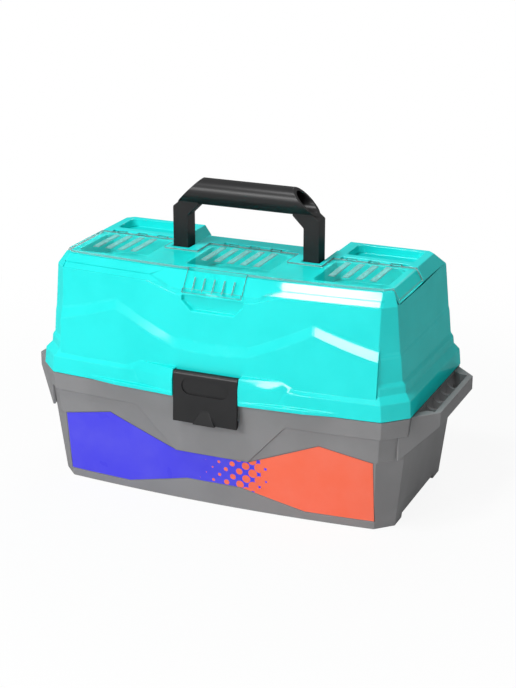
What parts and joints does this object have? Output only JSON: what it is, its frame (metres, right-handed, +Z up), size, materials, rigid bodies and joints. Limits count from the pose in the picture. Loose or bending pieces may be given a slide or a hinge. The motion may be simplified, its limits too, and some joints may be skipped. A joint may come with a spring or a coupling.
{
  "type": "tackle box",
  "caption": "Plastic tackle box with a deep tub, hinged stepped lid carrying cantilever trays, clear top cover over shallow pockets, front latch and folding carry handle.",
  "frame": {"origin": "on the floor, under the middle of the tub", "axes": "+X along the box to its right end, -Y to the front with the latch, +Z up"},
  "size_m": [0.456, 0.2442, 0.325],
  "materials": {
    "tub_plastic": "moulded, satin",
    "lid_plastic": "moulded, semi-gloss",
    "black_plastic": "moulded, fine texture",
    "clear_plastic": "clear, glossy",
    "tray_plastic": "moulded, satin",
    "printed_film": "printed film",
    "pin_steel": "drawn wire"
  },
  "bodies": {
    "base": {"base_tub": "tub_plastic", "tub_floor": "tub_plastic", "flange_left": "tub_plastic", "flange_right": "tub_plastic", "front_label": "printed_film", "lid_hinge_pins": "pin_steel"},
    "lid": {"lid_shell": "lid_plastic", "latch_pin": "pin_steel", "handle_pins": "pin_steel"},
    "latch": {"latch": "black_plastic"},
    "top_cover": {"top_cover": "clear_plastic"},
    "handle": {"handle": "black_plastic"},
    "arm_front_left": {"arm_front_left": "black_plastic"},
    "arm_front_right": {"arm_front_right": "black_plastic"},
    "arm_rear_left": {"arm_rear_left": "black_plastic"},
    "arm_rear_right": {"arm_rear_right": "black_plastic"},
    "tray_bottom": {"tray_bottom": "tray_plastic", "dividers_bottom": "tray_plastic"},
    "tray_middle": {"tray_middle": "tray_plastic", "dividers_middle": "tray_plastic"},
    "tray_top": {"tray_top": "tray_plastic", "dividers_top": "tray_plastic"}
  },
  "joints": [
    {"name": "lid_hinge", "type": "hinge", "parent": "base", "child": "lid", "pos_m": [0, 0.113, 0.116], "axis": [-1, 0, 0], "range_deg": [0, 96]},
    {"name": "arm_front_left_pivot", "type": "hinge", "parent": "base", "child": "arm_front_left", "pos_m": [0, 0.0191, 0.113], "axis": [-1, 0, 0], "range_deg": [0, 96]},
    {"name": "arm_front_right_pivot", "type": "hinge", "parent": "base", "child": "arm_front_right", "pos_m": [0, 0.0191, 0.113], "axis": [-1, 0, 0], "range_deg": [0, 96]},
    {"name": "arm_rear_left_pivot", "type": "hinge", "parent": "base", "child": "arm_rear_left", "pos_m": [0, 0.0391, 0.113], "axis": [-1, 0, 0], "range_deg": [0, 96]},
    {"name": "arm_rear_right_pivot", "type": "hinge", "parent": "base", "child": "arm_rear_right", "pos_m": [0, 0.0391, 0.113], "axis": [-1, 0, 0], "range_deg": [0, 96]},
    {"name": "tray_bottom_pivot", "type": "hinge", "parent": "arm_rear_left", "child": "tray_bottom", "pos_m": [0, 0.01356, 0.136], "axis": [-1, 0, 0], "range_deg": [-96, 0]},
    {"name": "tray_middle_pivot", "type": "hinge", "parent": "arm_rear_left", "child": "tray_middle", "pos_m": [0, -0.02198, 0.168], "axis": [-1, 0, 0], "range_deg": [-96, 0]},
    {"name": "tray_top_pivot", "type": "hinge", "parent": "arm_rear_left", "child": "tray_top", "pos_m": [0, -0.05752, 0.2], "axis": [-1, 0, 0], "range_deg": [-96, 0]},
    {"name": "latch_pivot", "type": "hinge", "parent": "lid", "child": "latch", "pos_m": [0, -0.1165, 0.1475], "axis": [-1, 0, 0], "range_deg": [0, 100]},
    {"name": "cover_hinge", "type": "hinge", "parent": "lid", "child": "top_cover", "pos_m": [0, 0.008, 0.2485], "axis": [-1, 0, 0], "range_deg": [0, 95]},
    {"name": "handle_fold", "type": "hinge", "parent": "lid", "child": "handle", "pos_m": [0, -0.011, 0.239], "axis": [-1, 0, 0], "range_deg": [0, 90]}
  ],
  "couplings": [
    {"joint": "arm_front_left_pivot", "follows": "lid_hinge", "ratio": 1},
    {"joint": "arm_front_right_pivot", "follows": "lid_hinge", "ratio": 1},
    {"joint": "arm_rear_left_pivot", "follows": "lid_hinge", "ratio": 1},
    {"joint": "arm_rear_right_pivot", "follows": "lid_hinge", "ratio": 1},
    {"joint": "tray_bottom_pivot", "follows": "lid_hinge", "ratio": -1},
    {"joint": "tray_middle_pivot", "follows": "lid_hinge", "ratio": -1},
    {"joint": "tray_top_pivot", "follows": "lid_hinge", "ratio": -1},
    {"joint": "handle_fold", "follows": "cover_hinge", "ratio": 0.94737}
  ]
}
